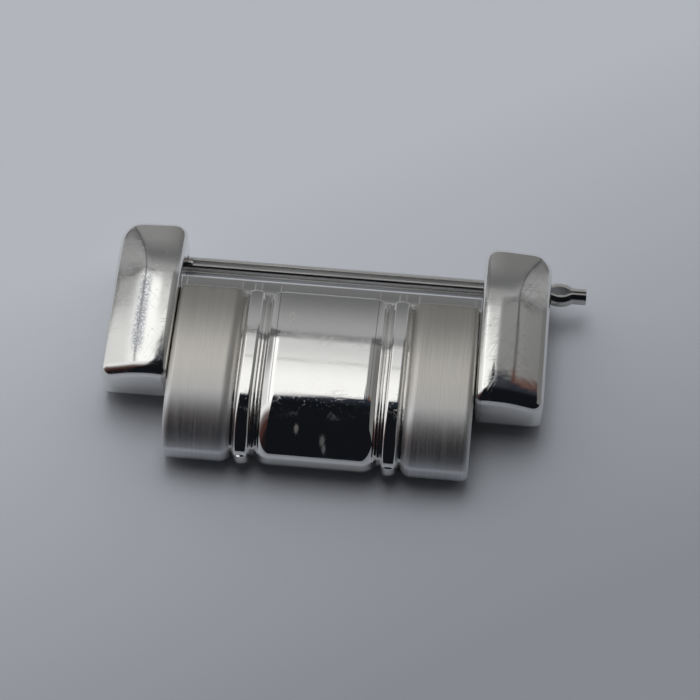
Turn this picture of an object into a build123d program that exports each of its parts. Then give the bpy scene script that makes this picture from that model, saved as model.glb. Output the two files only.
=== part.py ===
from build123d import *
import os
from math import radians, sqrt, tan

# A steel bracelet link: a five-row centre block, two outer links hinged to it
# on a fixed pin, and a removable split pin that carries the next link.
# X runs along the pins, +Y from the nose bore to the split pin, +Z to the dial side.
# The origin is the middle of the nose bore.

# The link as a whole
block_width = 13.76
outer_width = 3.09
side_gap = 0.03
block_hole_spacing = 4.1
outer_hole_spacing = 4.1
cut_overrun = 3.0
match_tolerance = 0.002

# The centre block's side outline
foot_depth = 1.55
nose_reach = 1.48
nose_curve_start = 0.92
nose_curve_radius = 3.0
nose_edge_round = 0.5
nose_foot_round = 1.1
block_crest = 1.78
block_crown_top = 3.74
block_crown_radius = 32.0
rear_gap = 0.45
rear_edge_bevel = 0.08
rear_foot_round = 0.8

# The five rows and the grooves between them
centre_row_width = 5.52
inner_groove_floor = 0.14
bead_width = 0.84
outer_groove_floor = 0.02
groove_depth = 0.42
groove_slope_width = 0.34
core_nose_inset = 0.4
core_side_inset = 0.45
bead_lift = 0.07
bead_nose_reach = 0.08
bead_round = 0.32
row_edge_round = 0.09
block_edge_round = 0.26

# Bores in the block
nose_bore_radius = 0.47
running_clearance = 0.04

# The fixed hinge pin, pressed into blind holes in the outer links
hinge_pin_radius = 0.45
hinge_pin_depth = 2.0
hinge_pin_end_clearance = 0.1
hinge_pin_bevel = 0.06

# The outer links
outer_crest = 2.05
rear_reach = 1.33
outer_link_gap = 0.14
under_relief_height = 0.95
under_relief_reach = 1.05
under_relief_round = 0.25
outer_foot_round = 1.1
plan_round_rear = 1.0
plan_round_inner = 0.45
plan_round_front = 0.5
plan_round_front_inner = 0.3
top_tilt = 5.0
facet_tilt = 20.0
ridge_share = 0.52
outer_crown_top = 6.6
front_knee = 2.15
outer_crown_radius = 30.0
front_drop_radius = 1.2
rear_drop_radius = 9.0
facet_rear_radius = 40.0
ridge_round = 3.0
top_edge_round = 0.3
foot_edge_round = 0.15
upright_share = 0.05

# The removable split pin and its holes
pin_radius = 0.425
pin_set_back = 0.65
pin_slot = 0.2
pin_flats_height = 0.76
pin_fold = 0.42
pin_push_out = 2.3
pin_hole_radius = 0.48
bulge_spread = 0.14
bulge_from_tip = 1.2
bulge_half_length = 0.62
tip_pinch = 0.06
bulge_seat_clearance = 0.03

# Places worked out from the sizes
pitch = block_hole_spacing + outer_hole_spacing
block_rear = pitch - nose_reach - rear_gap
underside = -foot_depth
inner_face = block_width / 2 + side_gap
outer_face = inner_face + outer_width
link_width = 2 * outer_face
outer_rear = pitch + rear_reach
outer_front = rear_reach + outer_link_gap
pin_low = pin_push_out + pin_set_back - outer_face
pin_tip = pin_push_out - pin_set_back + outer_face


def slab(outline, low, high):
    """A side outline, drawn in (Y, Z), made solid from X = low to X = high."""
    return extrude(Plane.YZ.offset(low) * outline, high - low, dir=(1, 0, 0))


def block_outline(top_inset, nose_inset):
    """The block's side outline: flat foot, upright front, curved nose and crowned top."""
    crown_centre = Vector(block_crown_top, block_crest - block_crown_radius)
    crown_reach = block_crown_radius - top_inset
    nose_curve_reach = nose_curve_radius - top_inset
    forward = nose_curve_start - block_crown_top
    outward = Vector(forward, sqrt(block_crown_radius**2 - forward**2)).normalized()
    nose_centre = crown_centre + outward * (block_crown_radius - nose_curve_radius)
    nose_middle = nose_centre + (outward + Vector(-1, 0)).normalized() * nose_curve_reach
    crown_start = crown_centre + outward * crown_reach
    front = nose_inset - nose_reach
    nose_edge = Vector(front, nose_centre.Y + sqrt(nose_curve_reach**2 - (front - nose_centre.X) ** 2))
    crown_end_height = crown_centre.Y + sqrt(crown_reach**2 - (block_rear - block_crown_top) ** 2)
    edges = [
        Line((block_rear, underside), (front, underside)),
        Line((front, underside), nose_edge),
        ThreePointArc(nose_edge, nose_middle, crown_start),
        ThreePointArc(crown_start, crown_centre + Vector(0, crown_reach), (block_rear, crown_end_height)),
        Line((block_rear, crown_end_height), (block_rear, underside)),
    ]
    face = make_face(edges)
    edge = face.vertices().sort_by(Axis.X)[:2].sort_by(Axis.Y)[-1]
    face = fillet(edge, radius=nose_edge_round)
    foot = face.vertices().group_by(Axis.Y)[0].sort_by(Axis.X)[0]
    return fillet(foot, radius=nose_foot_round)


def end_rim(solid, side):
    """The edges round the solid's lowest (0) or highest (-1) face along X, but for its rear edge."""
    edges = solid.faces().sort_by(Axis.X)[side].edges()
    return edges.sort_by(Axis.Y)[:-1]


def slope_side(solid, side):
    """Cut the sloping groove wall along one end face of a row."""
    face = solid.faces().sort_by(Axis.X)[side]
    edges = end_rim(solid, side)
    return chamfer(edges, length=groove_depth, length2=groove_slope_width, reference=face)


def bevel_rear(row):
    """Bevel the top edge of a row's upright rear face."""
    rear = row.faces().sort_by(Axis.Y)[-1]
    top = rear.edges().sort_by(Axis.Z)[-1]
    return chamfer(top, length=rear_edge_bevel)


def round_crest(row, across):
    """Round the edge where a row's crest meets its sloping wall."""
    crest_edges = [e for e in row.edges() if abs(e.position_at(0.5).X - across) < match_tolerance]
    return fillet(crest_edges, radius=row_edge_round)


def centre_row():
    """The middle row, with a sloping wall down to the groove on each side."""
    half = centre_row_width / 2
    row = slab(block_outline(0, 0), -half, half)
    row = slope_side(row, 0)
    row = slope_side(row, -1)
    row = bevel_rear(row)
    row = round_crest(row, half - groove_slope_width)
    return round_crest(row, groove_slope_width - half)


def bead():
    """The narrow half-round row on the right."""
    low = centre_row_width / 2 + inner_groove_floor
    row = slab(block_outline(-bead_lift, -bead_nose_reach), low, low + bead_width)
    row = fillet(end_rim(row, 0) + end_rim(row, -1), radius=bead_round)
    return bevel_rear(row)


def side_row():
    """The wide brushed row on the right."""
    low = centre_row_width / 2 + inner_groove_floor + bead_width + outer_groove_floor
    row = slab(block_outline(0, 0), low, block_width / 2)
    row = slope_side(row, 0)
    row = fillet(end_rim(row, -1), radius=block_edge_round)
    row = bevel_rear(row)
    return round_crest(row, low + groove_slope_width)


def block_core():
    """The body of the block under the rows, which makes the groove floors."""
    half = block_width / 2 - core_side_inset
    return slab(block_outline(groove_depth, core_nose_inset), -half, half)


def foot_trim():
    """A wide solid with a rounded lower rear edge, which trims the block's foot."""
    size = block_rear + block_width
    outline = Pos(block_rear, underside) * Rectangle(size, size, align=(Align.MAX, Align.MIN))
    corner = outline.vertices().sort_by(Axis.Y)[:2].sort_by(Axis.X)[-1]
    return slab(fillet(corner, radius=rear_foot_round), -block_width, block_width)


def cross_hole(place, radius):
    """A cutter for a bore right across the link at Y = place."""
    return Pos(0, place, 0) * (Rot(0, 90, 0) * Cylinder(radius, link_width + cut_overrun))


def centre_block():
    """The five rows and their body as one piece, with the nose bore and the hinge bore."""
    rows = [bead(), side_row()]
    rows += [mirror(row, about=Plane.YZ) for row in rows]
    block = block_core().fuse(centre_row(), *rows) & foot_trim()
    nose_bore = cross_hole(0, nose_bore_radius)
    hinge_bore = cross_hole(block_hole_spacing, hinge_pin_radius + running_clearance)
    return block - nose_bore - hinge_bore


def roof_arc(centre, radius, start, end):
    """An arc over the given circle centre from Y = start to Y = end."""
    places = (start, (start + end) / 2, end)
    points = [(y, centre.Y + sqrt(radius**2 - (y - centre.X) ** 2)) for y in places]
    return ThreePointArc(*points)


def roof_outline(crown, front_drop, rear_drop):
    """A tall side outline under a crown that falls away faster at the front and the rear."""
    low_front = outer_front - outer_link_gap
    low_rear = outer_rear + outer_link_gap
    crown_centre = Vector(outer_crown_top, -crown)
    rear_centre = Vector(outer_crown_top, -rear_drop)
    crown_line = roof_arc(crown_centre, crown, front_knee, outer_crown_top)
    outward = (crown_line.position_at(0) - crown_centre).normalized()
    front_centre = crown_centre + outward * (crown - front_drop)
    front_line = roof_arc(front_centre, front_drop, low_front, front_knee)
    rear_line = roof_arc(rear_centre, rear_drop, outer_crown_top, low_rear)
    rest = Polyline(
        rear_line.position_at(1),
        (low_rear, -link_width),
        (low_front, -link_width),
        front_line.position_at(0),
    )
    return make_face([front_line, crown_line, rear_line, *rest.edges()])


def roof(outline, across, height, tilt):
    """The roof outline as a wide solid, hinged down outwards about X = across."""
    return Pos(across, 0, height) * (Rot(0, tilt, 0) * slab(outline, -link_width, link_width))


def outer_outline():
    """The outer link's side outline before its top is shaped."""
    top = outer_crest + cut_overrun
    relief_top = underside + under_relief_height
    relief_foot = outer_front + under_relief_reach
    corners = [
        (outer_front, top),
        (outer_front, relief_top),
        (relief_foot, underside),
        (outer_rear, underside),
        (outer_rear, top),
    ]
    face = make_face(Polyline(*corners, close=True).edges())
    foot = face.vertices().group_by(Axis.Y)[0].sort_by(Axis.X)
    face = fillet(foot[-1], radius=outer_foot_round)
    relief = [v for v in face.vertices() if v.X < relief_foot + match_tolerance and v.Y < 0]
    return fillet(relief, radius=under_relief_round)


def plan_blank():
    """The outer link's outline from above, with rounded corners, as a tall solid."""
    centre = Pos((inner_face + outer_face) / 2, (outer_front + outer_rear) / 2)
    plan = centre * Rectangle(outer_width, outer_rear - outer_front)
    plan = fillet(plan.vertices().sort_by(Axis.Y)[-2:].sort_by(Axis.X)[-1], radius=plan_round_rear)
    plan = fillet(plan.vertices().sort_by(Axis.X)[:2].sort_by(Axis.Y)[-1], radius=plan_round_inner)
    plan = fillet(plan.vertices().sort_by(Axis.Y)[:2].sort_by(Axis.X)[0], radius=plan_round_front_inner)
    plan = fillet(plan.vertices().sort_by(Axis.Y)[:2].sort_by(Axis.X)[-1], radius=plan_round_front)
    return extrude(plan, outer_crest + cut_overrun, both=True)


def two_slope_roof():
    """The crowned inner slope meeting the steeper outer facet in a soft ridge."""
    ridge = inner_face + ridge_share * outer_width
    ridge_height = outer_crest - ridge_share * outer_width * tan(radians(top_tilt))
    top_outline = roof_outline(outer_crown_radius, front_drop_radius, rear_drop_radius)
    facet_outline = roof_outline(outer_crown_radius, front_drop_radius, facet_rear_radius)
    slopes = roof(top_outline, inner_face, outer_crest, top_tilt)
    slopes = slopes & roof(facet_outline, ridge, ridge_height, facet_tilt)
    meeting = []
    for edge in slopes.edges():
        middle = edge.position_at(0.5)
        run = edge.tangent_at(0.5)
        if abs(middle.X - ridge) < outer_width and abs(run.Y) > abs(run.X):
            meeting.append(edge)
    return fillet(meeting, radius=ridge_round)


def rim_edges(link):
    """The edges where the roof meets the upright sides of the outer link."""
    level_limit = outer_crest - foot_depth
    rim = []
    for face in link.faces():
        if abs(face.normal_at().Z) > upright_share:
            continue
        for edge in face.edges():
            lies_level = abs(edge.tangent_at(0.5).Z) < 1 - upright_share
            if lies_level and edge.position_at(0.5).Z > level_limit:
                rim.append(edge)
    return rim


def bar_blank():
    """The outer link's cross-section, with rounded foot edges, along its whole length."""
    height = 2 * (outer_crest + cut_overrun)
    bar = Rectangle(outer_width, height, align=(Align.CENTER, Align.MIN))
    bar = fillet(bar.vertices().sort_by(Axis.Y)[:2], radius=foot_edge_round)
    foot_middle = ((inner_face + outer_face) / 2, 0, underside)
    front_plane = Plane(foot_middle, x_dir=(1, 0, 0), z_dir=(0, -1, 0))
    return extrude(front_plane * bar, outer_rear + cut_overrun, dir=(0, 1, 0))


def outer_link():
    """The right outer link, with a blind hole for the hinge pin and the split pin's hole."""
    link = slab(outer_outline(), inner_face, outer_face) & plan_blank() & bar_blank()
    link = link & two_slope_roof()
    link = fillet(rim_edges(link), radius=top_edge_round)
    return link - hinge_socket() - cross_hole(pitch, pin_hole_radius)


def rod(place, radius, low, high):
    """A plain cylinder along X at Y = place, from X = low to X = high."""
    centre = Pos((low + high) / 2, place, 0)
    return centre * (Rot(0, 90, 0) * Cylinder(radius, high - low))


def hinge_socket():
    """The blind hole in the right outer link that holds the end of the hinge pin."""
    depth = hinge_pin_depth + hinge_pin_end_clearance
    return rod(block_hole_spacing, hinge_pin_radius, inner_face - cut_overrun, inner_face + depth)


def bulge_seat():
    """The wider outer part of the right hole, which the split pin's bulge sinks into."""
    seat_radius = pin_radius + bulge_spread + bulge_seat_clearance
    deepest = pin_tip - pin_push_out - bulge_from_tip - bulge_half_length
    return rod(pitch, seat_radius, deepest, outer_face + cut_overrun)


def hinge_pin():
    """The fixed pin that joins both outer links through the block."""
    reach = inner_face + hinge_pin_depth
    pin = rod(block_hole_spacing, hinge_pin_radius, -reach, reach)
    ends = pin.edges().filter_by(GeomType.CIRCLE)
    return chamfer(ends, length=hinge_pin_bevel)


def s_bend(start, end):
    """Two tangent arcs that step sideways from start to end, level at both."""
    middle = (Vector(*start) + Vector(*end)) / 2
    first = TangentArc(start, middle, tangent=(1, 0))
    return first + TangentArc(middle, end, tangent=first % 1)


def leg_path():
    """The path of the split pin's far leg: straight, out round the bulge, in at the tip."""
    bulge_top = pin_tip - bulge_from_tip
    bulge_start = (bulge_top - bulge_half_length, 0)
    waist = (bulge_top + bulge_half_length, -tip_pinch)
    rise = s_bend(bulge_start, (bulge_top, bulge_spread))
    fall = s_bend((bulge_top, bulge_spread), waist)
    return Line((pin_low, 0), bulge_start) + rise + fall + Line(waist, (pin_tip, -tip_pinch))


def split_pin_leg():
    """One half-round leg of the split pin, with a narrow flat beside the slot above and below."""
    half = Rectangle(pin_radius, pin_flats_height, align=(Align.MIN, Align.CENTER))
    section = Circle(pin_radius) & (Pos(pin_slot / 2, 0) * half)
    end_plane = Plane((pin_low, 0, 0), x_dir=(0, 1, 0), z_dir=(1, 0, 0))
    return sweep(end_plane * section, path=leg_path())


def split_pin():
    """The removable pin: two sprung legs joined by a solid fold at the left end."""
    leg = split_pin_leg()
    fold = Pos(pin_low + pin_fold / 2, 0, 0) * (Rot(0, 90, 0) * Cylinder(pin_radius, pin_fold))
    pin = leg.fuse(mirror(leg, about=Plane.XZ), fold)
    return Pos(0, pitch, 0) * pin


os.makedirs("parts", exist_ok=True)
right_link = outer_link()
export_step(centre_block(), "parts/centre_block.step")
export_step(right_link - bulge_seat(), "parts/outer_link_right.step")
export_step(mirror(right_link, about=Plane.YZ), "parts/outer_link_left.step")
export_step(hinge_pin(), "parts/hinge_pin.step")
export_step(split_pin(), "parts/split_pin.step")
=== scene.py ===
from math import atan2, ceil, cos, pi, radians, sin, sqrt, tan

import bmesh
import bpy
from mathutils import Matrix, Vector


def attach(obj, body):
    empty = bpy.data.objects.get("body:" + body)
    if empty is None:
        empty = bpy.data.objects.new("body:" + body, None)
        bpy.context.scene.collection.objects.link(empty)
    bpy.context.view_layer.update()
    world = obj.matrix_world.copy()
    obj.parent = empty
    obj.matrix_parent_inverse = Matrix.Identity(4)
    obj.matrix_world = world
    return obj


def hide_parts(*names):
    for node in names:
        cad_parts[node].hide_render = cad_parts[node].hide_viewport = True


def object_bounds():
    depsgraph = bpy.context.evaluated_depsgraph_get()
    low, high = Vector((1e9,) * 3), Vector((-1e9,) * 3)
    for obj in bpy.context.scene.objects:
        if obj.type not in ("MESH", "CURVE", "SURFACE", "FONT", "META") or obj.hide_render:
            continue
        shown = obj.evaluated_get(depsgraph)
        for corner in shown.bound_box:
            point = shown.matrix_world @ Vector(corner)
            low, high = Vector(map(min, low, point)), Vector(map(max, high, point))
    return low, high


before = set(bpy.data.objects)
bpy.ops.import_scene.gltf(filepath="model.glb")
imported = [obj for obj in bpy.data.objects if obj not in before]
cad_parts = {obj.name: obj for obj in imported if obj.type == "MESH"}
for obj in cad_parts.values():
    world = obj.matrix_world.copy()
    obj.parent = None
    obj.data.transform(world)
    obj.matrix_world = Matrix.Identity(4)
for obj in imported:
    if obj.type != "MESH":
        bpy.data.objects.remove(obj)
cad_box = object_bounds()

MM = 0.001


def mm(*lengths):
    """Lengths in millimetres as metres."""
    return [length * MM for length in lengths]


# The view, as the photograph shows it: a tilted look from the front, above and a little right
view_elevation = radians(60.11)
view_azimuth = radians(6.23)
view_roll = radians(-0.77)
view_distance = 112.1 * MM
frame_pixels = 700
focal_pixels = 2500
origin_pixel = (316.9, 432.6)
sensor_width = 36.0
near_clip = 1 * MM
far_clip = 9000 * MM

# The floor, with painted shade that makes it dimmer towards the front right
floor_size = 900 * MM
floor_colour = (0.475, 0.495, 0.535)
floor_painted_shade_colour = (0.26, 0.275, 0.305)
floor_skew = -0.6
floor_painted_shade_fade = mm(-14, 16)
floor_roughness = 0.8

# The lamps: the place from the link's middle and the size, in millimetres, and the power
lamps = {"top_lamp": ((-30, 40, 300), 120, 0.17), "rear_lamp": ((-20, 150, 270), 140, 0.245)}

# The studio that metal reflects, by direction: across is a direction's X, along is its Y.
# A span is where a change starts and ends, and a band has a low end, a high end and a softness.
# The wall behind the link, from low down to the panel's edge, and its far end from left to right
wall_span = (0.64, 0.53)
wall_colours = ((0.15, 0.152, 0.155), (0.36, 0.363, 0.365))
far_wall_span = (0.66, 0.8)
far_wall_side_span = (-0.3, 0.2)
far_wall_colours = ((0.26, 0.262, 0.262), (0.185, 0.186, 0.183))

# The bright panel above the wall, with its join and its parts to the left and right
wall_to_panel_span = (0.515, 0.487)
panel_span = (0.49, 0.36)
panel_colours = ((0.64, 0.64, 0.635), (1.05, 1.05, 1.03))
join_band = (0.425, 0.435, 0.006)
join_share = 0.35
join_colour = (0.3, 0.3, 0.3)
left_panel_span = (-0.08, -0.24)
left_panel_colour = (1.15, 1.15, 1.14)
far_left_span = (-0.5, -0.7)
far_left_rise_span = (0.47, 0.38)
far_left_colours = ((0.28, 0.28, 0.28), (0.76, 0.76, 0.755))
right_panel_span = (0.02, 0.12)
right_panel_colour = (0.26, 0.26, 0.257)
far_right_span = (0.5, 0.66)
far_right_colour = (0.17, 0.17, 0.168)

# The dark seam between the wall and the panel, fainter at the middle, and the two dark posts
seam_band = (0.499, 0.519, 0.005)
seam_side_span = (0.05, 0.2)
seam_shares = (0.35, 0.8)
seam_colour = (0.05, 0.05, 0.055)
post_bands = ((0.4, 0.46, 0.02), (-0.5, -0.44, 0.02))
post_share = 0.75
post_colour = (0.06, 0.06, 0.065)

# The dark room overhead and in front: its upper edge, the edge's peak and the brown part of that edge
room_span = (0.32, 0.1)
room_colours = ((0.022, 0.026, 0.036), (0.006, 0.007, 0.009))
room_edge_span = (0.08, 0.16)
room_edge_heights = (0.32, 0.33)
room_end_span = (0.62, 0.78)
room_end_fall = (0.0, -0.7)
room_edge_softness = (-0.01, 0.01)
peak_band = (0.0, 0.04, 0.035)
peak_height = 0.06
brown_side_band = (0.36, 0.62, 0.04)
brown_edge_band = (-0.012, 0.006, 0.005)
brown_share = 0.85
brown_colour = (0.12, 0.045, 0.03)

# The left side, past a slanted edge of the room: pale, and then darker towards the front
left_edge_along = (-0.6, 0.3)
left_edge_across = (-0.43, -0.07)
left_edge_softness = (0.015, -0.02)
dusk_start_span = (0.1, 0.0)
dusk_start_colour = (0.9, 0.9, 0.9)
dusk_steps = (
    ((-0.02, -0.3), (0.13, 0.1, 0.095)),
    ((-0.3, -0.48), (0.055, 0.024, 0.02)),
    ((-0.55, -0.72), (0.012, 0.009, 0.01)),
)

# The soft daylight on the floor: a window behind the link, and a weaker one on its left
window_span = (-0.1, 0.6)
window_levels = (0.05, 1.25)
side_window_span = (0.0, -0.8)
side_window_rise_span = (-0.4, 0.3)
side_window_levels = (0.0, 0.5)

# The block's side outline in (Y, Z), as in the CAD, in millimetres
foot_height = -1.55
nose_front = -1.48
nose_edge_round = 0.5
nose_foot_round = 1.1
nose_curve_start = 0.92
nose_curve_radius = 3.0
crown_top = (3.74, 1.78)
crown_radius = 32.0
block_rear = 6.27
rear_edge_round = 0.15
rear_foot_round = 0.8

# The steps of each arc of that outline, and how much of the crown has the finer ones, in row end radii
arc_steps = {"lip": 8, "rear_edge": 8, "crown_rear": 24, "crown": 54, "nose_curve": 36, "nose_edge": 14}
foot_steps = {"nose": 16, "rear": 12}
fine_crown_reach = 1.5

# The block's rows in (X, height over the crest, rounding), from its middle to its right edge
row_corners = [
    (0, 0, 0),
    (2.42, 0, 0.85),
    (2.76, -0.42, 0.1),
    (2.9, -0.42, 0.03),
    (2.9, 0.07, 0.41),
    (3.74, 0.07, 0.41),
    (3.74, -0.42, 0.01),
    (3.76, -0.42, 0.01),
    (4.1, 0, 0.5),
    (6.88, 0, 0.3),
    (6.88, -0.45, 0),
]
groove_depth = 0.42
row_end_rim = 0.15
column_spacing = 0.06
rounding_spacing = 0.04
least_rounding_steps = 3

# The lip behind the rows, level with the grooves, and where its front and its foot meet the rear
lip_rear = 6.96
lip_height = 1.26
lip_fall = 0.06
lip_edge_round = 0.07
lip_start = 6.3
lip_root = 0.6
lip_guard_start = 5.96

# The rows' rounded rear corners: the span of |X| of each row, and the corner's radius.
# Past the core's edge the side rows' rounding goes on down to the foot.
row_ends = [(-2.7, 2.7, 0.6), (2.88, 3.76, 0.42), (3.8, 6.88, 0.4)]
row_end_steepness = 4
core_edge = 6.4

# The right outer link, in millimetres
link_low = Vector((6.91, 1.47, -1.55))
link_high = Vector((10.0, 9.53, 2.05))
link_corner_rounds = {"front_inner": 0.3, "front_outer": 0.5, "rear_inner": 0.6, "rear_outer": 1.0}
link_rim_round = 0.3
link_foot_rim_round = 0.15
link_ridge = 8.52
link_crown_top = 6.6
link_front_radius = 42.0
link_knee = 2.15
link_knee_radius = 1.2
link_rear_radius = 10.5
link_facet_rear_radius = 40.0
link_top_slope = 0.0875
link_facet_slope = 0.364
link_roll_start = 8.0
link_roll = 0.13
link_relief_rear = 2.52
link_relief_height = 0.95
link_relief_softness = 0.1
link_rear_foot_round = 1.1

# The ridge's softness at the front and the rear, and the length over which it changes
ridge_softness = 0.1
ridge_crispness = 0.03
ridge_change_end = 8.4
ridge_change_length = 4

# The steps of the link's mesh along it, across it and round its rims
link_length_steps = 90
link_width_steps = 36
rim_steps = 8

# The bores: their radii by place along Y, and the mesh's sides, clean-up distances and sharp edges
pin_hole_radius = 0.48
pin_place = 8.2
seat_radius = 0.595
seat_start = 7.53
bore_radii = {0: 0.47, 4.1: 0.49}
bore_sides = 96
drill_overrun = 1
weld_distance = 0.0005
sliver_distance = 0.0001
sharp_angle = radians(50)

# Fine scratches by their way in degrees, with the level where each starts, and the patches they lie in.
# A grain is its cells per metre along and across, and a noise its cells per metre and its detail.
scratch_starts = {25: 0.68, -50: 0.69, 80: 0.7}
scratch_grain = (450, 20000)
scratch_softness = 0.06
patch_noise = (900, 1.0)
patch_span = (0.45, 0.62)
patch_levels = (0.05, 1.0)
speck_softness = 0.04

# Small marks on the polished middle row: (X, Y) and size in millimetres
nicks = [((-0.85, -0.5), 0.12), ((0.33, -0.85), 0.14), ((0.42, -1.1), 0.1), ((-1.6, 4.87), 0.13)]
nick_squeeze = 0.6
nick_noise = (12000, 2.0)
nick_noise_span = (0.3, 0.7)
nick_raggedness = (0.6, 1.6)
nick_core_share = 0.6

# The outer links' finish, with the worn stretch of the left link's ridge
smudge_span = (0.35, 0.7)
link_smudge_noise = (500, 3.0)
link_swell_noise = (1100, 2.0)
link_roughness = (0.06, 0.13)
link_colours = ((0.87, 0.865, 0.85), (0.8, 0.8, 0.785))
link_relief_depth = 0.012
link_swell_height = 0.4
link_scratch_depth = 0.05
link_scratch_roughness = 0.07
worn_ridge_inset = 0.1
worn_ridge = (link_ridge - worn_ridge_inset) * MM
worn_width = mm(0.38, 0.12)
worn_length = mm(2.6, 6.4, 0.5)
worn_specks = (14000, 0.46)
worn_depth_share = 0.5
ridge_colour = (0.4, 0.42, 0.48)
worn_colour = (0.2, 0.21, 0.25)
worn_colour_share = 0.45
dent_specks = (6500, 0.79)
dent_roughness = 0.12
dent_depth = 0.1

# The pins' finish: lines along X
pin_grain = (250, 16000)
pin_grain_turn = 90
pin_line_span = (0.3, 0.7)
pin_roughness = (0.12, 0.24)
pin_colours = ((0.62, 0.61, 0.59), (0.5, 0.49, 0.475))
pin_relief_depth = 0.002

# The block's finish: where the brushed side rows start and end
brushed_start = mm(3.8, 3.9)
brushed_end = mm(6.29, 6.24)
block_relief_depth = 0.008

# Its polished rows, which are worn most in a band across their front
polished_colour = (0.87, 0.865, 0.855)
polished_smudge_noise = (800, 3.0)
polished_swell_noise = (1400, 1.0)
polished_roughness = (0.02, 0.05)
polished_swell_height = 0.1
handled_band = mm(-0.05, 0.95, 0.3)
handled_scratch_levels = (0.25, 1.0)
handled_speck_levels = (0.25, 0.55)
handled_scratch_gain = 0.05
handled_specks = (11000, 0.72)
wear_roughness = 0.26
wear_depth = 0.05
nick_roughness = 0.4

# Its brushed rows, with a fine and a broad grain, duller at the front with painted light there (a paler,
# bluish tone), and with painted shade darkening them at the rear
fine_grain = (350, 22000)
fine_share = 0.6
broad_grain = (180, 6500)
broad_share = 0.4
brushed_line_span = (0.35, 0.65)
brushed_roughness = (0.31, 0.42)
brushed_line_height = 0.45
brushed_front_dull_and_painted_light_span = mm(2.4, -0.2)
brushed_front_roughness = 0.14
# Painted light at the front: a paler, bluish colour and its share
brushed_front_painted_light_colour = (0.82, 0.85, 0.9)
brushed_front_painted_light_share = 0.6
brushed_colour_span = (0.36, 0.64)
brushed_colours = ((0.66, 0.635, 0.59), (0.82, 0.795, 0.745))
# Painted shade at the rear: where it starts and ends, its shares and its colour
brushed_painted_shade_span = mm(2.8, 5.6)
brushed_painted_shade_shares = (0.0, 0.7)
brushed_painted_shade_colour = (0.4, 0.39, 0.37)
brushed_stretch = 0.6

whole_low, whole_high = (Vector(corner) for corner in cad_box)


class Graph:
    """Short calls that add shader nodes to one tree and link them."""

    # The places of the colour sockets among a Mix node's inputs and outputs
    mix_first, mix_second, mix_result = 6, 7, 2

    def __init__(self, tree):
        self.tree = tree
        tree.nodes.clear()

    def add(self, kind, inputs=None, **settings):
        """A new node with its settings and its inputs, which are numbers, colours or sockets."""
        node = self.tree.nodes.new(kind)
        for name, value in settings.items():
            setattr(node, name, value)
        for name, value in (inputs or {}).items():
            self.feed(node.inputs[name], value)
        return node

    def feed(self, socket, value):
        """Link a socket to another, or set its value."""
        if isinstance(value, bpy.types.NodeSocket):
            self.tree.links.new(value, socket)
        elif socket.type == "RGBA" and len(value) == 3:
            socket.default_value = (*value, 1)
        else:
            socket.default_value = value

    def math(self, operation, first, second=0.0):
        """A Math node of two inputs."""
        node = self.add("ShaderNodeMath", {0: first, 1: second}, operation=operation)
        return node.outputs[0]

    def plus(self, first, second):
        """The sum of two values."""
        return self.math("ADD", first, second)

    def minus(self, first, second):
        """The first value less the second."""
        return self.math("SUBTRACT", first, second)

    def times(self, first, second):
        """The product of two values."""
        return self.math("MULTIPLY", first, second)

    def larger(self, first, second):
        """The larger of two values."""
        return self.math("MAXIMUM", first, second)

    def ease(self, value, start, end, low=0.0, high=1.0):
        """A smooth step of the value from low at start to high at end."""
        inputs = {"Value": value, "From Min": start, "From Max": end, "To Min": low, "To Max": high}
        node = self.add("ShaderNodeMapRange", inputs, interpolation_type="SMOOTHSTEP")
        return node.outputs["Result"]

    def slope(self, value, start, end, low=0.0, high=1.0):
        """A straight change of the value from low at start to high at end, level beyond them."""
        inputs = {"Value": value, "From Min": start, "From Max": end, "To Min": low, "To Max": high}
        return self.add("ShaderNodeMapRange", inputs).outputs["Result"]

    def inside(self, value, low, high, soft):
        """1 where the value lies between low and high, with soft ends."""
        rise = self.ease(value, low - soft, low + soft)
        fall = self.ease(value, high - soft, high + soft, 1.0, 0.0)
        return self.times(rise, fall)

    def blend(self, share, first, second):
        """A colour that goes from first to second as the share goes from 0 to 1."""
        node = self.add("ShaderNodeMix", data_type="RGBA")
        self.feed(node.inputs["Factor"], share)
        self.feed(node.inputs[self.mix_first], first)
        self.feed(node.inputs[self.mix_second], second)
        return node.outputs[self.mix_result]

    def noise(self, scale, detail, place=None):
        """Noise over a place, or without one over the piece's own box."""
        inputs = {"Scale": scale, "Detail": detail}
        if place is not None:
            inputs["Vector"] = place
        return self.add("ShaderNodeTexNoise", inputs).outputs["Fac"]


def make_camera():
    """The camera at the photograph's angle, with the origin at its pixel."""
    towards = Vector(
        (
            cos(view_elevation) * sin(view_azimuth),
            -cos(view_elevation) * cos(view_azimuth),
            sin(view_elevation),
        )
    )
    level_right = Vector((cos(view_azimuth), sin(view_azimuth), 0))
    level_up = towards.cross(level_right)
    right = level_right * cos(view_roll) + level_up * sin(view_roll)
    up = towards.cross(right)
    pixel = view_distance / focal_pixels
    across = (origin_pixel[0] - frame_pixels / 2) * pixel
    down = (origin_pixel[1] - frame_pixels / 2) * pixel
    place = towards * view_distance - right * across + up * down
    data = bpy.data.cameras.new("camera")
    data.sensor_width = sensor_width
    data.lens = focal_pixels * sensor_width / frame_pixels
    data.clip_start = near_clip
    data.clip_end = far_clip
    camera = bpy.data.objects.new("camera", data)
    camera.matrix_world = Matrix.Translation(place) @ Matrix((right, up, towards)).transposed().to_4x4()
    bpy.context.scene.collection.objects.link(camera)
    bpy.context.scene.camera = camera


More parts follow.
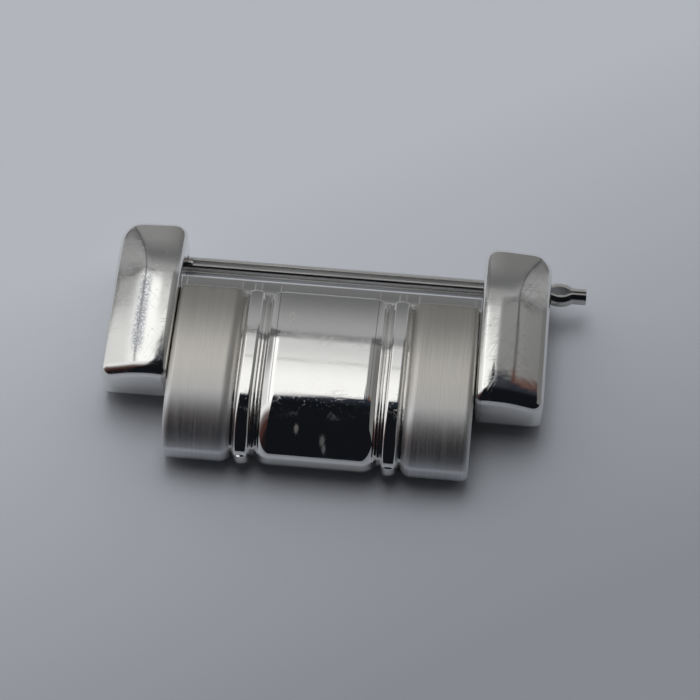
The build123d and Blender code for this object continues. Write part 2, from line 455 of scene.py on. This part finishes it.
def make_floor():
    """A wide pale floor under the link's flat foot, with painted shade that darkens it towards the front
    right.
    """
    half = floor_size / 2
    height = whole_low.z
    corners = [(-half, -half, height), (half, -half, height), (half, half, height), (-half, half, height)]
    mesh = bpy.data.meshes.new("floor")
    mesh.from_pydata(corners, [], [(0, 1, 2, 3)])
    floor = bpy.data.objects.new("floor", mesh)
    bpy.context.scene.collection.objects.link(floor)
    material, graph, _, (x, y, _) = new_finish("floor")
    # Painted shade: the floor's colour goes from the lit colour to a dim one towards the front right
    way = graph.plus(y, graph.times(x, floor_skew))
    colour = graph.blend(graph.slope(way, *floor_painted_shade_fade), floor_painted_shade_colour, floor_colour)
    shader = graph.add("ShaderNodeBsdfPrincipled", {"Base Color": colour, "Roughness": floor_roughness})
    graph.add("ShaderNodeOutputMaterial", {"Surface": shader.outputs["BSDF"]})
    mesh.materials.append(material)


def make_lamp(name, place, size, power):
    """A soft square lamp over the link's middle, turned towards it and not seen in reflections."""
    data = bpy.data.lights.new(name, "AREA")
    data.size = size * MM
    data.energy = power
    lamp = bpy.data.objects.new(name, data)
    offset = Vector(place) * MM
    lamp.location = (whole_low + whole_high) / 2 + offset
    lamp.rotation_euler = offset.to_track_quat("Z", "Y").to_euler()
    bpy.context.scene.collection.objects.link(lamp)
    lamp.visible_glossy = False


def studio_wall(graph, across, along):
    """The wall behind the link."""
    wall = graph.blend(graph.ease(along, *wall_span), *wall_colours)
    far = graph.blend(graph.ease(across, *far_wall_side_span), *far_wall_colours)
    return graph.blend(graph.ease(along, *far_wall_span), wall, far)


def studio_panel(graph, across, along):
    """The bright panel above the wall."""
    panel = graph.blend(graph.ease(along, *panel_span), *panel_colours)
    join = graph.times(graph.inside(along, *join_band), join_share)
    panel = graph.blend(join, panel, join_colour)
    panel = graph.blend(graph.ease(across, *left_panel_span), panel, left_panel_colour)
    far_left = graph.blend(graph.ease(along, *far_left_rise_span), *far_left_colours)
    panel = graph.blend(graph.ease(across, *far_left_span), panel, far_left)
    panel = graph.blend(graph.ease(across, *right_panel_span), panel, right_panel_colour)
    return graph.blend(graph.ease(across, *far_right_span), panel, far_right_colour)


def studio_back(graph, across, along):
    """The wall and the panel, with the seam between them and the posts in front of them."""
    wall = studio_wall(graph, across, along)
    panel = studio_panel(graph, across, along)
    back = graph.blend(graph.ease(along, *wall_to_panel_span), wall, panel)
    seam_share = graph.ease(graph.math("ABSOLUTE", across), *seam_side_span, *seam_shares)
    seam = graph.times(graph.inside(along, *seam_band), seam_share)
    back = graph.blend(seam, back, seam_colour)
    right_post, left_post = (graph.inside(across, *band) for band in post_bands)
    posts = graph.times(graph.plus(right_post, left_post), post_share)
    return graph.blend(posts, back, post_colour)


def studio_room(graph, across, along, back):
    """The dark room overhead and in front, under its edge against the back."""
    room = graph.blend(graph.ease(along, *room_span), *room_colours)
    edge = graph.ease(across, *room_edge_span, *room_edge_heights)
    edge = graph.plus(edge, graph.ease(across, *room_end_span, *room_end_fall))
    peak = graph.times(graph.inside(across, *peak_band), peak_height)
    below = graph.minus(graph.plus(edge, peak), along)
    view = graph.blend(graph.ease(below, *room_edge_softness), back, room)
    brown = graph.times(graph.inside(across, *brown_side_band), graph.inside(below, *brown_edge_band))
    return graph.blend(graph.times(brown, brown_share), view, brown_colour)


def studio_left(graph, along, back):
    """The left side, which darkens step by step towards the front."""
    dusk = dusk_start_colour
    for span, colour in dusk_steps:
        dusk = graph.blend(graph.ease(along, *span), dusk, colour)
    return graph.blend(graph.ease(along, *dusk_start_span), back, dusk)


def daylight(graph, across, along):
    """The level of the diffuse light from a direction."""
    window = graph.ease(along, *window_span, *window_levels)
    rise = graph.ease(along, *side_window_rise_span, *side_window_levels)
    return graph.plus(window, graph.times(graph.ease(across, *side_window_span), rise))


def make_world():
    """Soft daylight for diffuse surfaces, and a studio of pale and dark walls for reflections."""
    world = bpy.data.worlds.new("studio")
    bpy.context.scene.world = world
    world.use_nodes = True
    graph = Graph(world.node_tree)
    direction = graph.add("ShaderNodeTexCoord").outputs["Generated"]
    across, along, _ = graph.add("ShaderNodeSeparateXYZ", {"Vector": direction}).outputs
    back = studio_back(graph, across, along)
    left_edge = graph.slope(along, *left_edge_along, *left_edge_across)
    left = graph.ease(graph.minus(across, left_edge), *left_edge_softness)
    reflected = graph.blend(left, studio_room(graph, across, along, back), studio_left(graph, along, back))
    path = graph.add("ShaderNodeLightPath").outputs
    shiny = graph.larger(path["Is Glossy Ray"], path["Is Transmission Ray"])
    plain = graph.blend(path["Is Camera Ray"], daylight(graph, across, along), floor_colour)
    colour = graph.blend(shiny, plain, reflected)
    background = graph.add("ShaderNodeBackground", {"Color": colour, "Strength": 1.0})
    graph.add("ShaderNodeOutputWorld", {"Surface": background.outputs["Background"]})


def arc(centre, radius, start, end, steps):
    """Points along an arc with their outward directions, from one angle to another."""
    samples = []
    for step in range(steps + 1):
        angle = start + (end - start) * step / steps
        outward = Vector((cos(angle), sin(angle)))
        samples.append((centre + outward * radius, outward))
    return samples


def angle_from(centre, point):
    """The direction of a point from a centre, as an angle."""
    return atan2(point.y - centre.y, point.x - centre.x)


def block_outline():
    """The block's outline as (point, way a groove sinks, share of the groove's depth) samples."""
    crown = Vector(crown_top) - Vector((0, crown_radius))
    rear_reach = crown_radius - rear_edge_round
    rear_y = block_rear - rear_edge_round
    rear = Vector((rear_y, crown.y + sqrt(rear_reach**2 - (rear_y - crown.x) ** 2)))
    forward = nose_curve_start - crown.x
    outward = Vector((forward, sqrt(crown_radius**2 - forward**2))).normalized()
    nose = crown + outward * (crown_radius - nose_curve_radius)
    edge_reach = nose_curve_radius - nose_edge_round
    edge_y = nose_front + nose_edge_round
    edge = Vector((edge_y, nose.y + sqrt(edge_reach**2 - (edge_y - nose.x) ** 2)))
    rear_angle = angle_from(crown, rear)
    fine_angle = rear_angle + row_ends[0][2] * fine_crown_reach / crown_radius
    front_angle = atan2(outward.y, outward.x)
    edge_angle = angle_from(nose, edge)
    down = Vector((0, -1))
    still = Vector((0, 0))
    lip = Vector((lip_rear - lip_edge_round, lip_height - lip_fall - lip_edge_round))
    samples = [(Vector((block_rear, lip_root)), still, 0)]
    samples += [(point, still, 0) for point, _ in arc(lip, lip_edge_round, -pi / 4, pi / 2, arc_steps["lip"])]
    samples += [(Vector((lip_start, lip_height)), still, 0)]
    rear_edge = arc(rear, rear_edge_round, 0, rear_angle, arc_steps["rear_edge"])
    samples += [(point, down, 1) for point, _ in rear_edge]
    top = arc(crown, crown_radius, rear_angle, fine_angle, arc_steps["crown_rear"])[1:]
    top += arc(crown, crown_radius, fine_angle, front_angle, arc_steps["crown"])[1:]
    top += arc(nose, nose_curve_radius, front_angle, edge_angle, arc_steps["nose_curve"])[1:]
    top += arc(edge, nose_edge_round, edge_angle, pi, arc_steps["nose_edge"])[1:]
    samples += [(point, -way, 1) for point, way in top]
    foot = Vector((nose_front + nose_foot_round, foot_height + nose_foot_round))
    nose_foot = arc(foot, nose_foot_round, pi, 1.5 * pi, foot_steps["nose"])
    samples += [(point, -way, -way.x) for point, way in nose_foot]
    foot = Vector((block_rear - rear_foot_round, foot_height + rear_foot_round))
    rear_foot = arc(foot, rear_foot_round, 1.5 * pi, 2 * pi, foot_steps["rear"])
    samples += [(point, down * way.y, 0) for point, way in rear_foot]
    return samples


def rounded_line(corners, spacing):
    """Points at a spacing along a line through (x, y, radius) corners, rounded at each."""
    points = [Vector(corners[0][:2])]
    for before, corner, after in zip(corners, corners[1:], corners[2:]):
        here = Vector(corner[:2])
        back = (Vector(before[:2]) - here).normalized()
        ahead = (Vector(after[:2]) - here).normalized()
        half = back.angle(ahead) / 2
        centre = here + (back + ahead).normalized() * corner[2] / sin(half)
        first = here + back * corner[2] / tan(half) - centre
        last = here + ahead * corner[2] / tan(half) - centre
        steps = max(least_rounding_steps, ceil(corner[2] / rounding_spacing))
        for step in range(steps + 1):
            points.append(centre + first.lerp(last, step / steps).normalized() * corner[2])
    points.append(Vector(corners[-1][:2]))
    fine = points[:1]
    for start, end in zip(points, points[1:]):
        parts = max(1, ceil((end - start).length / spacing))
        fine += [start.lerp(end, part / parts) for part in range(1, parts + 1)]
    return fine


def rounding(distance, radius):
    """How far a rounded rim lies below its surface, at a distance inside the rim."""
    if distance >= radius:
        return 0
    return radius - sqrt(radius**2 - (radius - distance) ** 2)


def bow(distance, radius):
    """How far a large circle falls away over a distance."""
    return radius - sqrt(radius**2 - distance**2)


def row_end_drop(x, y):
    """How far a row's rounded rear corners lie below its crest."""
    end = block_rear - y
    for low, high, radius in row_ends:
        edge = min(abs(x) - low, high - abs(x))
        if 0 <= edge < radius and end < radius:
            inside = radius - sqrt((radius - edge) ** 2 + (radius - end) ** 2)
            step = min(max(-inside, 0) * row_end_steepness, groove_depth - row_end_rim)
            return rounding(max(inside, 0), row_end_rim) + step
    return 0


def block_mesh():
    """The centre block with its rows blended softly, in millimetres."""
    outline = block_outline()
    half = rounded_line(row_corners, column_spacing)
    columns = [Vector((-point.x, point.y)) for point in reversed(half)] + half[1:]
    bm = bmesh.new()
    rings = []
    for column in columns:
        ring = []
        for point, sink, share in outline:
            depth = -column.y * (share if abs(column.x) < core_edge else 1)
            if share and point.y > 0:
                depth = max(depth, row_end_drop(column.x, point.x))
            place = point + sink * depth
            if share and point.x > lip_guard_start:
                place.y = max(place.y, lip_height)
            ring.append(bm.verts.new((column.x, place.x, place.y)))
        rings.append(ring)
    for ring, following in zip(rings, rings[1:]):
        for k in range(len(ring)):
            face = bm.faces.new((ring[k - 1], ring[k], following[k], following[k - 1]))
            face.smooth = True
    bm.faces.new(rings[0])
    bm.faces.new(reversed(rings[-1]))
    return bm


def link_rim_distance(x, y):
    """How far a place in the right outer link's plan lies inside the plan's outline."""
    near = min(x - link_low.x, link_high.x - x, y - link_low.y, link_high.y - y)
    for name, radius in link_corner_rounds.items():
        sign_y = -1 if "front" in name else 1
        sign_x = -1 if "inner" in name else 1
        corner_x = (link_low.x if sign_x < 0 else link_high.x) - sign_x * radius
        corner_y = (link_low.y if sign_y < 0 else link_high.y) - sign_y * radius
        if (x - corner_x) * sign_x > 0 and (y - corner_y) * sign_y > 0:
            near = radius - sqrt((x - corner_x) ** 2 + (y - corner_y) ** 2)
    return max(near, 0)


def link_sides(y):
    """The inner and outer X of the right outer link's plan at a place along it."""
    sides = []
    for side, sign_x, end_x in (("inner", -1, link_low.x), ("outer", 1, link_high.x)):
        inset = 0
        for end, sign_y, end_y in (("front", -1, link_low.y), ("rear", 1, link_high.y)):
            radius = link_corner_rounds[f"{end}_{side}"]
            over = (y - end_y) * sign_y + radius
            if over > 0:
                inset = radius - sqrt(max(radius**2 - over**2, 0))
        sides.append(end_x - sign_x * inset)
    return sides


def link_slopes(x, y):
    """The heights of the right outer link's inner slope and outer facet."""
    front = max(link_crown_top - y, 0)
    rear = max(y - link_crown_top, 0)
    knee = min(max(link_knee - y, 0), link_knee_radius)
    fall = bow(front, link_front_radius) + bow(knee, link_knee_radius)
    slope = link_high.z - link_top_slope * (x - link_low.x) - fall - bow(rear, link_rear_radius)
    slope -= link_roll * max(link_roll_start - x, 0) ** 2
    ridge_height = link_high.z - link_top_slope * (link_ridge - link_low.x)
    facet = ridge_height - link_facet_slope * (x - link_ridge) - fall - bow(rear, link_facet_rear_radius)
    return slope, facet


def link_top(x, y):
    """The height of the right outer link's top: two slopes that meet in a ridge, crisper at the rear."""
    slope, facet = link_slopes(x, y)
    share = min(max((ridge_change_end - y) / ridge_change_length, 0), 1)
    eased = share * share * (3 - 2 * share)
    soft = ridge_crispness + (ridge_softness - ridge_crispness) * eased
    height = (slope + facet - sqrt((slope - facet) ** 2 + soft**2)) / 2
    return height - rounding(link_rim_distance(x, y), link_rim_round)


def link_foot(x, y):
    """The height of the right outer link's underside, with its relief at the front and its rounded rear."""
    relief = link_relief_height * (link_relief_rear - y) / (link_relief_rear - link_low.y)
    rise = (relief + sqrt(relief**2 + link_relief_softness**2)) / 2
    rise += rounding(link_high.y - y, link_rear_foot_round)
    return link_low.z + rise + rounding(link_rim_distance(x, y), link_foot_rim_round)


def graded(low, high, rim_low, rim_high, count):
    """Places from low to high, crowded towards both ends as round rims need."""
    turns = [pi / 2 * step / rim_steps for step in range(rim_steps)]
    start = [low + rim_low * (1 - cos(turn)) for turn in turns]
    end = [high - rim_high * (1 - cos(turn)) for turn in turns]
    inner_low = low + rim_low
    inner_high = high - rim_high
    middle = [inner_low + (inner_high - inner_low) * step / count for step in range(count + 1)]
    return start + middle + end[::-1]


def link_layer(height, rows_y, bm):
    """Rows of vertices over the right outer link's plan, at the height that a function gives."""
    layer = []
    for y in rows_y:
        low, high = link_sides(y)
        places = graded(low, high, link_rim_round, link_rim_round, link_width_steps)
        layer.append([bm.verts.new((x, y, height(x, y))) for x in places])
    return layer


def link_mesh():
    """The right outer link between its shaped top and its underside, in millimetres."""
    bm = bmesh.new()
    front_round = link_corner_rounds["front_outer"]
    rows_y = graded(link_low.y, link_high.y, front_round, link_rear_foot_round, link_length_steps)
    foot, top = (link_layer(height, rows_y, bm) for height in (link_foot, link_top))
    last = len(foot[0]) - 1
    for layer, turned in ((foot, False), (top, True)):
        for row, following in zip(layer, layer[1:]):
            for k in range(last):
                corners = [row[k], following[k], following[k + 1], row[k + 1]]
                bm.faces.new(corners[::-1] if turned else corners)
    for k in range(last):
        bm.faces.new((foot[0][k], foot[0][k + 1], top[0][k + 1], top[0][k]))
        bm.faces.new((foot[-1][k + 1], foot[-1][k], top[-1][k], top[-1][k + 1]))
    for k in range(len(rows_y) - 1):
        bm.faces.new((foot[k + 1][0], foot[k][0], top[k][0], top[k + 1][0]))
        bm.faces.new((foot[k][last], foot[k + 1][last], top[k + 1][last], top[k][last]))
    for face in bm.faces:
        face.smooth = True
    return bm


def drill(place, radius, low, high):
    """A cutter for a bore across the link, in millimetres: its place along Y, radius, low X and high X."""
    bm = bmesh.new()
    sizes = {"radius1": radius, "radius2": radius, "depth": high - low}
    bmesh.ops.create_cone(bm, cap_ends=True, segments=bore_sides, **sizes)
    turn = Matrix.Translation(((low + high) / 2, place, 0)) @ Matrix.Rotation(pi / 2, 4, "Y")
    bmesh.ops.transform(bm, matrix=turn, verts=bm.verts)
    for face in bm.faces:
        face.smooth = len(face.verts) == 4
    mesh = bpy.data.meshes.new("drill")
    bm.to_mesh(mesh)
    bm.free()
    cutter = bpy.data.objects.new("drill", mesh)
    bpy.context.scene.collection.objects.link(cutter)
    return cutter


def bored(bm, name, bores):
    """A piece made from a mesh in millimetres, with bores cut through it."""
    bmesh.ops.remove_doubles(bm, verts=bm.verts, dist=weld_distance)
    bmesh.ops.dissolve_degenerate(bm, edges=bm.edges, dist=sliver_distance)
    bmesh.ops.recalc_face_normals(bm, faces=bm.faces)
    mesh = bpy.data.meshes.new(name)
    bm.to_mesh(mesh)
    bm.free()
    piece = bpy.data.objects.new(name, mesh)
    bpy.context.scene.collection.objects.link(piece)
    cutters = [drill(*bore) for bore in bores]
    for cutter in cutters:
        cut = piece.modifiers.new("cut", "BOOLEAN")
        cut.object = cutter
        cut.solver = "EXACT"
    graph = bpy.context.evaluated_depsgraph_get()
    result = bpy.data.meshes.new_from_object(piece.evaluated_get(graph))
    result.transform(Matrix.Scale(MM, 4))
    piece.modifiers.clear()
    piece.data = result
    for cutter in cutters:
        bpy.data.objects.remove(cutter)
    result.set_sharp_from_angle(angle=sharp_angle)
    return piece


def settle(piece, body, node, material):
    """Put a finished piece on its body in place of its CAD node."""
    piece.data.materials.clear()
    piece.data.materials.append(material)
    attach(piece, body)
    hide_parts(node)


def mirrored(source, name):
    """A copy of a piece on the other side of the link."""
    mesh = source.data.copy()
    mesh.transform(Matrix.Scale(-1, 4, (1, 0, 0)))
    mesh.flip_normals()
    piece = bpy.data.objects.new(name, mesh)
    bpy.context.scene.collection.objects.link(piece)
    return piece


def steel_shader(graph, colour, roughness, height, depth):
    """The metal shader of a finish: its colour, roughness and relief, up to a depth in millimetres."""
    relief = graph.add("ShaderNodeBump", {"Strength": 1.0, "Distance": depth * MM, "Height": height})
    inputs = {"Base Color": colour, "Metallic": 1.0, "Roughness": roughness}
    inputs["Normal"] = relief.outputs["Normal"]
    shader = graph.add("ShaderNodeBsdfPrincipled", inputs)
    graph.add("ShaderNodeOutputMaterial", {"Surface": shader.outputs["BSDF"]})
    return shader


def new_finish(name):
    """An empty material's graph, with the place on the piece as a vector and as its three axes."""
    material = bpy.data.materials.new(name)
    material.use_nodes = True
    graph = Graph(material.node_tree)
    place = graph.add("ShaderNodeTexCoord").outputs["Object"]
    axes = graph.add("ShaderNodeSeparateXYZ", {"Vector": place})
    return material, graph, place, axes.outputs


def grain(graph, place, turn, along, across, detail=2.0):
    """Noise drawn out into streaks: its cells per metre along and across a direction in the plan."""
    inputs = {"Vector": place, "Angle": radians(turn)}
    turned = graph.add("ShaderNodeVectorRotate", inputs, rotation_type="Z_AXIS")
    inputs = {"Vector": turned.outputs["Vector"], "Scale": (across, along, along)}
    drawn = graph.add("ShaderNodeMapping", inputs)
    return graph.noise(1.0, detail, drawn.outputs["Vector"])


def scratches(graph, place, gain=0.0):
    """Sparse fine scratches in three directions, worn in patches; a gain above 0 makes them denser."""
    total = 0.0
    for turn, start in scratch_starts.items():
        lines = grain(graph, place, turn, *scratch_grain, 0.0)
        total = graph.larger(total, graph.ease(lines, start - gain, start - gain + scratch_softness))
    patches = graph.ease(graph.noise(*patch_noise, place), *patch_span, *patch_levels)
    return graph.times(total, patches)


def specks(graph, place, scale, start):
    """Small round dents where fine noise rises above a start level."""
    return graph.ease(graph.noise(scale, 0.0, place), start, start + speck_softness)


def nick(graph, x, y, place, reach):
    """1 inside a small ragged mark around a place (X, Y), both in millimetres."""
    offset_x = graph.minus(x, place[0] * MM)
    offset_y = graph.times(graph.minus(y, place[1] * MM), nick_squeeze)
    flat = graph.add("ShaderNodeCombineXYZ", {"X": offset_x, "Y": offset_y}).outputs["Vector"]
    length = graph.add("ShaderNodeVectorMath", {0: flat}, operation="LENGTH").outputs["Value"]
    raggedness = graph.ease(graph.noise(*nick_noise), *nick_noise_span, *nick_raggedness)
    ragged = graph.times(length, raggedness)
    return graph.ease(ragged, reach * MM, reach * nick_core_share * MM)


def polished_surface():
    """The outer links' finish: polished steel with smudges, soft dents, scratches and a worn ridge."""
    material, graph, place, (x, y, _) = new_finish("outer_steel")
    smudge = graph.noise(*link_smudge_noise, place)
    swell = graph.noise(*link_swell_noise, place)
    lines = scratches(graph, place)
    off_ridge = graph.math("ABSOLUTE", graph.plus(x, worn_ridge))
    ridge = graph.times(graph.ease(off_ridge, *worn_width), graph.inside(y, *worn_length))
    worn = graph.times(ridge, specks(graph, place, *worn_specks))
    dents = graph.larger(graph.times(worn, worn_depth_share), specks(graph, place, *dent_specks))
    roughness = graph.ease(smudge, *smudge_span, *link_roughness)
    roughness = graph.plus(roughness, graph.times(lines, link_scratch_roughness))
    roughness = graph.plus(roughness, graph.times(dents, dent_roughness))
    colour = graph.blend(smudge, *link_colours)
    colour = graph.blend(graph.times(ridge, worn_colour_share), colour, ridge_colour)
    colour = graph.blend(graph.times(worn, worn_colour_share), colour, worn_colour)
    height = graph.times(swell, link_swell_height)
    height = graph.minus(height, graph.times(lines, link_scratch_depth))
    height = graph.minus(height, graph.times(dents, dent_depth))
    steel_shader(graph, colour, roughness, height, link_relief_depth)
    return material


def pin_surface():
    """The pins' finish: bright drawn wire with fine lines along it."""
    material, graph, place, _ = new_finish("pin_steel")
    lines = grain(graph, place, pin_grain_turn, *pin_grain)
    roughness = graph.ease(lines, *pin_line_span, *pin_roughness)
    colour = graph.blend(lines, *pin_colours)
    steel_shader(graph, colour, roughness, lines, pin_relief_depth)
    return material


def polished_rows(graph, place, x, y):
    """The polished rows' roughness and relief: smudges, and wear where they are handled."""
    handled = graph.inside(y, *handled_band)
    marks = scratches(graph, place, handled_scratch_gain)
    marks = graph.times(marks, graph.ease(handled, 0, 1, *handled_scratch_levels))
    dots = specks(graph, place, *handled_specks)
    dots = graph.times(dots, graph.ease(handled, 0, 1, *handled_speck_levels))
    cuts = 0.0
    for spot, reach in nicks:
        cuts = graph.larger(cuts, nick(graph, x, y, spot, reach))
    wear = graph.larger(graph.larger(marks, dots), cuts)
    smudge = graph.noise(*polished_smudge_noise, place)
    roughness = graph.ease(smudge, *smudge_span, *polished_roughness)
    roughness = graph.plus(roughness, graph.times(wear, wear_roughness))
    roughness = graph.plus(roughness, graph.times(cuts, nick_roughness))
    swell = graph.times(graph.noise(*polished_swell_noise, place), polished_swell_height)
    return roughness, graph.minus(swell, graph.times(wear, wear_depth))


def brushed_rows(graph, place, y):
    """The brushed rows' colour, roughness and relief: lines along the link, with painted shade darkening the
    colour towards the rear and painted light paling it at the front.
    """
    fine = graph.times(grain(graph, place, 0, *fine_grain), fine_share)
    broad = graph.times(grain(graph, place, 0, *broad_grain), broad_share)
    lines = graph.plus(fine, broad)
    # How far towards the front: duller there, with painted light in the colour
    forward = graph.ease(y, *brushed_front_dull_and_painted_light_span)
    roughness = graph.ease(lines, *brushed_line_span, *brushed_roughness)
    roughness = graph.plus(roughness, graph.times(forward, brushed_front_roughness))
    colour = graph.blend(graph.ease(lines, *brushed_colour_span), *brushed_colours)
    # Painted shade: the colour darkens towards the rear
    rear = graph.ease(y, *brushed_painted_shade_span, *brushed_painted_shade_shares)
    colour = graph.blend(rear, colour, brushed_painted_shade_colour)
    # Painted light: a paler, bluish tone at the front
    colour = graph.blend(graph.times(forward, brushed_front_painted_light_share), colour, brushed_front_painted_light_colour)
    return colour, roughness, graph.times(lines, brushed_line_height)


def block_surface():
    """The block's finish: polished middle rows with scratches and specks, and brushed side rows."""
    material, graph, place, (x, y, _) = new_finish("block_steel")
    beside = graph.ease(graph.math("ABSOLUTE", x), *brushed_start)
    brushed = graph.times(beside, graph.ease(y, *brushed_end))
    gloss, shine = polished_rows(graph, place, x, y)
    # The brushed colour holds the grain's tone, with painted light at the front and painted shade at the rear
    brushed_grain_tone_and_painted_light, satin, lines = brushed_rows(graph, place, y)
    colour = graph.blend(brushed, polished_colour, brushed_grain_tone_and_painted_light)
    roughness = graph.plus(gloss, graph.times(brushed, graph.minus(satin, gloss)))
    height = graph.plus(shine, graph.times(brushed, graph.minus(lines, shine)))
    shader = steel_shader(graph, colour, roughness, height, block_relief_depth)
    across = graph.add("ShaderNodeCombineXYZ", {"X": 1.0})
    graph.feed(shader.inputs["Tangent"], across.outputs["Vector"])
    shader.inputs["Anisotropic"].default_value = brushed_stretch
    return material


def make_pieces():
    """The softly blended block and links, and the finish of the pins."""
    outer = polished_surface()
    pins = pin_surface()
    reach = link_high.x + drill_overrun
    block = bored(block_mesh(), "polished_block", [(y, r, -reach, reach) for y, r in bore_radii.items()])
    settle(block, "centre_block", "centre_block", block_surface())
    hole = (pin_place, pin_hole_radius, link_low.x - drill_overrun, reach)
    drilled = bored(link_mesh(), "drilled_link", [hole])
    left = mirrored(drilled, "polished_link_left")
    settle(left, "outer_links", "outer_link_left", outer)
    bpy.data.objects.remove(drilled)
    seat = (pin_place, seat_radius, seat_start, reach)
    right = bored(link_mesh(), "polished_link_right", [hole, seat])
    settle(right, "outer_links", "outer_link_right", outer)
    for name in ("hinge_pin", "split_pin"):
        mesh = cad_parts[name].data
        mesh.materials.clear()
        mesh.materials.append(pins)


bpy.context.scene.view_settings.view_transform = "Standard"
make_camera()
make_floor()
make_world()
for lamp_name, lamp_settings in lamps.items():
    make_lamp(lamp_name, *lamp_settings)
make_pieces()
